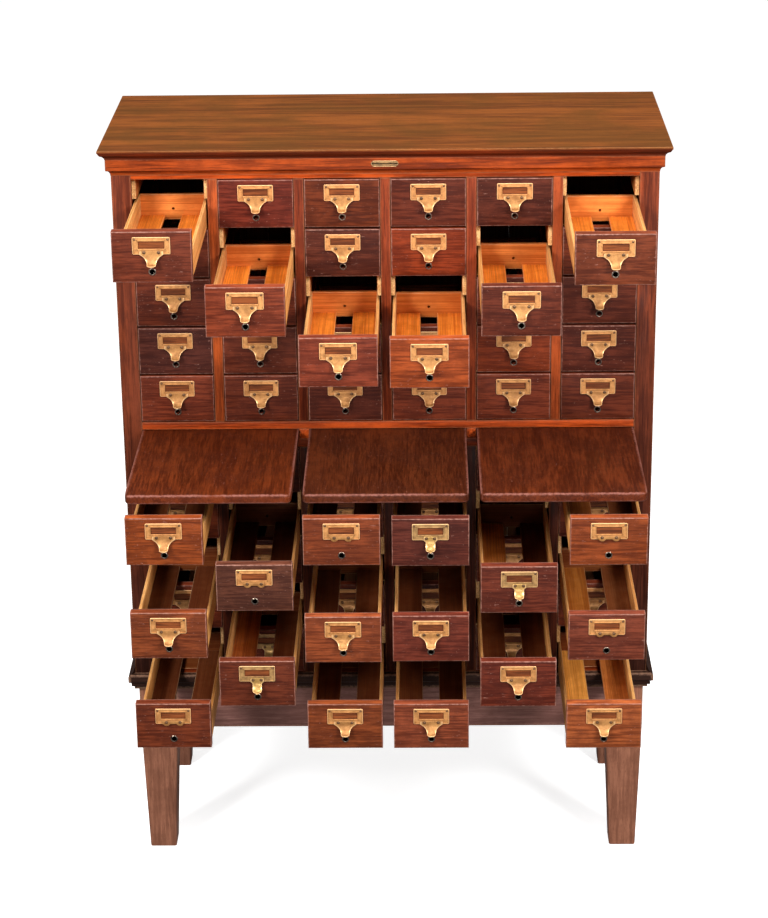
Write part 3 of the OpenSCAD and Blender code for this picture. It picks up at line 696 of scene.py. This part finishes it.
pulled = {1: (362, 0, 0, 0, 0, 399), 2: (0, 381, 0, 0, 385, 0), 3: (0, 0, 373, 382, 0, 0),
          6: (374, 0, 379, 384, 0, 384), 7: (0, 364, 0, 0, 379, 0), 8: (362, 0, 384, 381, 0, 378),
          9: (0, 367, 0, 0, 374, 0), 10: (347, 0, 352, 353, 0, 355)}
slidingClosed = {(2, 1), (3, 1), (4, 1), (5, 1), (3, 2), (4, 2), (1, 5), (2, 5), (5, 5), (6, 5)}
brokenPulls = {(3, 6), (2, 7), (6, 6), (6, 8), (1, 10)}
smallPulls = {(4, 6), (5, 7), (2, 9), (2, 10)}
frontColours = {(1, 1): (119, 59, 41), (2, 1): (118, 51, 38), (3, 1): (111, 54, 31),
                (4, 2): (143, 62, 32), (1, 4): (94, 50, 42), (5, 4): (144, 66, 36),
                (6, 1): (123, 64, 42), (3, 3): (135, 65, 46), (4, 3): (166, 82, 41),
                (1, 6): (150, 77, 38), (2, 7): (100, 62, 50), (1, 8): (140, 76, 46),
                (3, 8): (148, 80, 50), (4, 10): (145, 78, 54), (6, 10): (172, 98, 58),
                (6, 6): (150, 78, 42), (3, 6): (138, 72, 44), (2, 9): (112, 56, 38),
                (4, 6): (98, 50, 42), (5, 7): (116, 58, 44), (6, 8): (128, 68, 52),
                (4, 8): (118, 58, 46), (1, 10): (120, 60, 38), (5, 9): (116, 54, 40),
                (3, 10): (138, 74, 42)}
# painted light and shade: in these drawers one plank is lit and lighter, the other shaded and darker
plankLightAndShade = {(6, 6): ((150, 84, 38), (120, 66, 34)), (6, 8): ((168, 101, 41), (150, 90, 52)),
              (6, 10): ((232, 160, 72), (208, 122, 58)), (5, 7): ((226, 140, 66), colours["lowerPlankShade"]),
              (2, 9): ((190, 104, 48), colours["lowerPlankShade"])}
otherFronts = ((112, 54, 36), (104, 50, 36), (122, 58, 36), (130, 62, 40), (98, 50, 38))

front = dict(half=0.074, height=0.097, thickness=0.020, proud=0.0015, gap=0.0023, chamfer=0.0022,
             hole=0.00475, holeUp=0.0205, length=0.445, crest=2.1)
boxSize = dict(half=0.0715, side=0.006, height=0.0515, back=0.010, plank=0.006, lift=0.0035,
               slot=0.017, slide=0.0005, glue=0.0001, backHole=0.003)
label = dict(width=0.070, height=0.0325, windowWidth=0.052, windowHeight=0.017, bar=0.009,
             thickness=0.0024, drop=0.010, corner=0.0022,
             rim=((0.0005, 0.0004), (0.0011, 0.0), (0.0004, -0.0011), (0.0022, 0.0)),
             lip=((0.0016, 0.0009), (0.0013, 0.0002), (0.0004, 0.0002), (0.0, 0.0006)))
labelTop = case["pitchZ"] - front["gap"] - label["drop"]
labelFoot = labelTop - label["height"]
pull = dict(width=0.044, tip=0.017, drop=0.021, reach=0.017, metal=0.0018, flange=0.008,
            curl=75.0, flare=3.4, plane=0.0041, rimHighlight=1.75)
screw = dict(upper=0.0020, lower=0.0032, height=0.0008, dome=0.62, rim=0.8)


def drawerFront():
    bm = newShape()
    drilled(bm, (-front["half"], front["half"]), (-front["proud"], front["thickness"] - front["proud"]),
            (front["gap"], front["gap"] + front["height"]),
            (0, front["gap"] + front["holeUp"], front["hole"]), plain, "x", front["chamfer"], 3, 20)
    return bm


def drawerBox(plankColours, backColour):
    bm = newShape()
    b = boxSize
    y = (front["thickness"] - front["proud"] + b["glue"], front["length"] - front["proud"])
    z = (b["slide"], b["slide"] + b["height"])
    for side in (-1, 1):
        board(bm, sorted((side * (b["half"] - b["side"]), side * b["half"])), y, z,
              near(colours["boxSide"], 0.08), "y", 0.0012)
    reach = b["half"] - b["side"] - b["glue"]
    for side, colour in zip((-1, 1), plankColours):
        board(bm, sorted((side * b["slot"], side * reach)), (y[0], y[1] - b["back"] - b["glue"]),
              (b["slide"] + b["lift"], b["slide"] + b["lift"] + b["plank"]),
              near(colour, 0.08), "y", 0.0007)
    drilled(bm, (-reach, reach), (y[1] - b["back"], y[1]), z,
            (0, front["gap"] + front["holeUp"], b["backHole"]), near(backColour, 0.1), "x",
            0.0008, 2, 12)
    return bm


def labelFrame():
    bm = newShape()
    made = bmesh.ops.create_grid(bm, x_segments=1, y_segments=1, size=1.0)["verts"]
    y = -front["proud"] - boxSize["glue"]
    for v in made:
        v.co = (v.co.x * label["width"] / 2, y, labelFoot + (v.co.y + 1) / 2 * label["height"])
    roundCorners(bm, made, label["corner"], 3)
    rear = bm.faces[:][0]
    rim = list(rear.edges)
    out = bmesh.ops.extrude_face_region(bm, geom=[rear])
    lid = [g for g in out["geom"] if isinstance(g, bmesh.types.BMFace)]
    bmesh.ops.translate(bm, vec=(0, label["rim"][0][1] - label["thickness"], 0),
                        verts=lid[0].verts[:])
    for wide, deep in label["rim"]:
        bmesh.ops.inset_region(bm, faces=lid, thickness=wide, depth=deep, use_even_offset=True)

    opening = lid[0]
    middle = labelFoot + label["bar"] + label["windowHeight"] / 2
    # the lip round the window: how far outside it, and how far back from the foremost plane
    for grow, back in label["lip"] + ((0.0, label["thickness"]),):
        bmesh.ops.inset_region(bm, faces=lid, thickness=0.0001, depth=0.0)
        centre = opening.calc_center_median()
        wide, high = label["windowWidth"] / 2 + grow, label["windowHeight"] / 2 + grow
        reachX = max(abs(v.co.x - centre.x) for v in opening.verts)
        reachZ = max(abs(v.co.z - centre.z) for v in opening.verts)
        for v in opening.verts:  # scaled as a whole, so that no corner points meet
            v.co = ((v.co.x - centre.x) / reachX * wide, y - label["thickness"] + back,
                    middle + (v.co.z - centre.z) / reachZ * high)
    inside = list(opening.edges)
    bmesh.ops.delete(bm, geom=[f for f in bm.faces if f == opening or
                               all(e in rim for e in f.edges)], context="FACES_ONLY")
    bmesh.ops.bridge_loops(bm, edges=[e for e in rim if e.is_valid] + inside)
    mark(bm, "x", plain)
    return bm


def curl(t):
    # t runs from the top of the flange (-1) through the frame's lower edge (0) to the tip (1)
    last = math.radians(pull["curl"])
    if t <= 0:
        return 0.0, -t * pull["flange"]
    a = t * last
    share = (1 - math.cos(a)) / (1 - math.cos(last))
    return (pull["reach"] - pull["metal"]) * share, \
        -(pull["drop"] - pull["metal"]) * math.sin(a) / math.sin(last)


def bentPull(widthAt, across=8, along=10, flange=3, dish=0.0):
    bm = newShape()
    made = bmesh.ops.create_grid(bm, x_segments=across, y_segments=along + flange, size=1.0)["verts"]
    for v in made:
        row = round((1 - v.co.y) / 2 * (along + flange))
        t = row / flange - 1 if row <= flange else (row - flange) / along
        outward, z = curl(t)
        half = widthAt(t)
        bend = dish * (v.co.x ** 2) * max(t, 0)
        v.co = (v.co.x * half, -pull["plane"] - pull["metal"] - outward + bend, labelFoot + z)
    faces = bm.faces[:]
    bmesh.ops.recalc_face_normals(bm, faces=faces)
    if sum(f.normal.y for f in faces) > 0:
        bmesh.ops.reverse_faces(bm, faces=faces)
    bmesh.ops.solidify(bm, geom=faces, thickness=pull["metal"] * 0.94)
    plane = -pull["plane"]
    tip = plane - pull["reach"]
    for v in bm.verts:
        v.co.y = max(min(v.co.y, plane), tip + 0.0001)
        v.co.z = max(v.co.z, labelFoot - pull["drop"] + 0.0001)
    rims = [e for e in bm.edges if len(e.link_faces) == 2 and e.calc_face_angle(0) > 1]
    # painted highlight on the pull's bevelled rims below the flange top
    litRims = bevel(bm, rims, 0.0005, 2)
    mark(bm, "z", plain)
    retint(bm, [v for v in litRims if v.co.z < labelFoot + pull["flange"] - 0.002],
           (pull["rimHighlight"],) * 3)
    return bm


def fingerWidth(t):
    if t <= 0:
        return pull["width"] / 2 - 0.0006 * max(0, -t - 0.6)
    tip = pull["tip"] / 2
    if t > 0.86:
        return tip * math.sqrt(1 - ((t - 0.86) / 0.17) ** 2 * 0.7)
    return tip + (pull["width"] / 2 - tip) * max(0.0, 1 - t) ** pull["flare"]


def smallWidth(t):
    flange, body = 0.013, 0.009
    if t <= 0.02:
        return flange
    if t > 0.72:
        return body * math.sqrt(max(0.05, 1 - ((t - 0.72) / 0.30) ** 2))
    return body + (flange - body) * max(0.0, 1 - t * 8)


def brokenPull():
    bm = newShape()
    y = (-pull["plane"] - pull["metal"], -pull["plane"])
    half = pull["width"] / 2
    made = bmesh.ops.create_grid(bm, x_segments=22, y_segments=1, size=1.0)["verts"]
    for v in made:
        x = v.co.x * half
        lobe = max(0.0, 1 - ((abs(x) - 0.0135) / 0.0062) ** 2)
        foot = labelFoot - 0.0042 * math.sqrt(lobe) + 0.0005
        v.co = (x, y[1], labelFoot + pull["flange"] - 0.0001 if v.co.y > 0 else foot)
    out = bmesh.ops.extrude_face_region(bm, geom=bm.faces[:])
    fresh = [g for g in out["geom"] if isinstance(g, bmesh.types.BMVert)]
    bmesh.ops.translate(bm, vec=(0, y[0] - y[1], 0), verts=fresh)
    bevel(bm, [e for e in bm.edges if e.calc_face_angle(0) > 1], 0.0004, 2)
    mark(bm, "x", plain)
    return bm


def rodRing():
    bm = newShape()
    radius = (front["hole"] - 0.0001, 0.0070)
    profile = [(radius[0], 0.0), (radius[0], -0.0007), (radius[0] + 0.0006, -0.001),
               (radius[1] - 0.0008, -0.001), (radius[1], -0.0004), (radius[1], 0.0)]
    y, z = -front["proud"] - boxSize["glue"], front["gap"] + front["holeUp"]
    verts = [bm.verts.new((r, y + d, z)) for r, d in profile]
    edges = [bm.edges.new((verts[i], verts[(i + 1) % len(verts)])) for i in range(len(verts))]
    bmesh.ops.spin(bm, geom=verts + edges, cent=(0, y, z), axis=(0, 1, 0), dvec=(0, 0, 0),
                   angle=2 * math.pi, steps=20, use_merge=True, use_duplicate=False)
    mark(bm, "x", plain)
    return bm


def screws(lower):
    bm = newShape()
    corner = (label["width"] - label["windowWidth"]) / 4
    turn = Matrix.Rotation(math.pi / 2, 4, "X")
    for side in (-1, 1):
        for x, z, y, radius in ((label["width"] / 2 - corner, labelTop - corner,
                                 -front["proud"] - label["thickness"] - 2 * boxSize["glue"]
                                 + screw["height"] / 2, screw["upper"]),
                                (lower, labelFoot + pull["flange"] / 2,
                                 -pull["plane"] - pull["metal"] - boxSize["glue"],
                                 screw["lower"])):
            at = Matrix.Translation((side * x, y - screw["height"] / 2, z))
            bmesh.ops.create_cone(bm, cap_ends=True, segments=14, radius1=radius,
                                  radius2=radius * screw["dome"], depth=screw["height"],
                                  matrix=at @ turn)
            fresh = mark(bm, "x", plain)
            retint(bm, [v for v in fresh if math.hypot(v.co.x - side * x, v.co.z - z)
                        > radius * screw["rim"]], (2, 2, 2))
    return bm


# one of each kind, copied to every drawer; the lower screws sit closer on a small pull
kit = dict(front=drawerFront(), label=labelFrame(), finger=bentPull(fingerWidth, dish=0.0022),
           small=bentPull(smallWidth, across=6, dish=0.003), broken=brokenPull(), ring=rodRing(),
           screws=screws(lower=0.0135), screwsSmall=screws(lower=0.0079))


def copied(source, move, tint=None):
    bm = source.copy()
    bmesh.ops.translate(bm, vec=move, verts=bm.verts[:])
    layer, own = bm.verts.layers.float["seed"], chance.random()
    for v in bm.verts:
        v[layer] = own
    if tint:
        retint(bm, bm.verts, tint)
    return bm


for r in range(1, 11):
    for c in range(1, 7):
        out = pulled.get(r, (0,) * 6)[c - 1] / 1000
        move = (columnX(c), -out, rowZ(r))
        slides = out > 0 or (c, r) in slidingClosed
        body = f"column_{c}_row_{r}" if slides else "cabinet"
        own = f"drawer_column_{c}_row_{r}"
        place = f"C{c}R{r}"

        def nodes(kind):
            return [own] if slides else ["closed_drawer_" + kind]

        tint = linear(frontColours[c, r]) if (c, r) in frontColours else \
            near(chance.choice(otherFronts), 0.08)
        bm = copied(kit["front"], move, tint)
        # painted light: the front's top face is lightened, as if lit from above
        crest = rowZ(r) + front["gap"] + front["height"] - 1e-5
        retint(bm, [v for v in bm.verts if v.co.z > crest], Vector(tint) * front["crest"])
        piece("front" + place, bm, frontOak, body, nodes("fronts"))
        # painted shade: the lower bank's planks and drawer backs are darker
        pair = plankLightAndShade.get((c, r), (colours["plank" if r < 6 else "lowerPlankShade"],) * 2)
        bm = drawerBox(pair, colours["boxBack" if r < 6 else "lowerBackShade"])
        bmesh.ops.translate(bm, vec=move, verts=bm.verts[:])
        piece("box" + place, bm, boxWood, body, nodes("boxes"))
        small = (c, r) in smallPulls
        piece("label" + place, copied(kit["label"], move), bronze if small else frameBrass, body,
              nodes("label_frames"))
        shape = "small" if small else "broken" if (c, r) in brokenPulls else "finger"
        piece("pull" + place, copied(kit[shape], move), newBrass if small else pullBrass, body,
              nodes("pulls"))
        piece("ring" + place, copied(kit["ring"], move), ringMetal, body, nodes("rings"))
        piece("screws" + place, copied(kit["screwsSmall" if small else "screws"], move), screwMetal,
              body, nodes("screws"), 60)
print("drawers made")

bm = bmesh.new()
bmesh.ops.create_grid(bm, x_segments=2, y_segments=2, size=30.0)
mesh = bpy.data.meshes.new("floor")
bm.to_mesh(mesh)
bm.free()
floor = bpy.data.objects.new("floor", mesh)
scene.collection.objects.link(floor)
g = Graph("floorPaper")
g.put("Base Color", (0.92, 0.92, 0.92, 1))
g.put("Roughness", 0.9)
g.put("Emission Color", (1, 1, 1, 1))
g.put("Emission Strength", 0.75)
mesh.materials.append(g.material)
floor.visible_diffuse = False
floor.visible_glossy = False

world = bpy.data.worlds.new("studio")
world.use_nodes = True
world.node_tree.nodes["Background"].inputs["Color"].default_value = (1, 1, 1, 1)
world.node_tree.nodes["Background"].inputs["Strength"].default_value = 0.22
scene.world = world


def softLight(name, at, towards, size, power):
    data = bpy.data.lights.new(name, "AREA")
    data.shape = "RECTANGLE"
    data.size, data.size_y = size
    data.energy = power
    lamp = bpy.data.objects.new(name, data)
    scene.collection.objects.link(lamp)
    lamp.location = at
    lamp.rotation_euler = (Vector(towards) - Vector(at)).to_track_quat("-Z", "Y").to_euler()


softLight("leftLight", at=(-2.6, -3.1, 3.3), towards=(0, -0.2, 0.9), size=(1.2, 1.2), power=225)
softLight("rightLight", at=(2.6, -3.1, 3.3), towards=(0, -0.2, 0.9), size=(1.2, 1.2), power=225)
softLight("topLight", at=(0, -1.4, 4.4), towards=(0, -0.3, 0.9), size=(1.6, 1.6), power=75)
softLight("lowLight", at=(0.4, -4.6, 0.9), towards=(0, 0, 0.5), size=(1.4, 0.9), power=50)

view = dict(lens=101.3, yaw=-0.017, pitch=0.367, roll=-0.012, at=(0.0755, -4.9247, 2.7977))
yaw, pitch, roll = view["yaw"], view["pitch"], view["roll"]
ahead = Vector((math.sin(yaw) * math.cos(pitch), math.cos(yaw) * math.cos(pitch), -math.sin(pitch)))
right = Vector((math.cos(yaw), -math.sin(yaw), 0))
up = right.cross(ahead)
turnedX = math.cos(roll) * right + math.sin(roll) * up
turnedY = -math.sin(roll) * right + math.cos(roll) * up
data = bpy.data.cameras.new("camera")
data.lens = view["lens"]
data.sensor_width = 36.0
data.sensor_fit = "AUTO"
data.clip_end = 100.0
camera = bpy.data.objects.new("camera", data)
scene.collection.objects.link(camera)
axes = Matrix((turnedX, turnedY, -ahead)).transposed().to_4x4()
camera.matrix_world = Matrix.Translation((view["at"][0], view["at"][1] + face, view["at"][2])) @ axes
scene.camera = camera
scene.view_settings.view_transform = "Standard"
print("stage made")
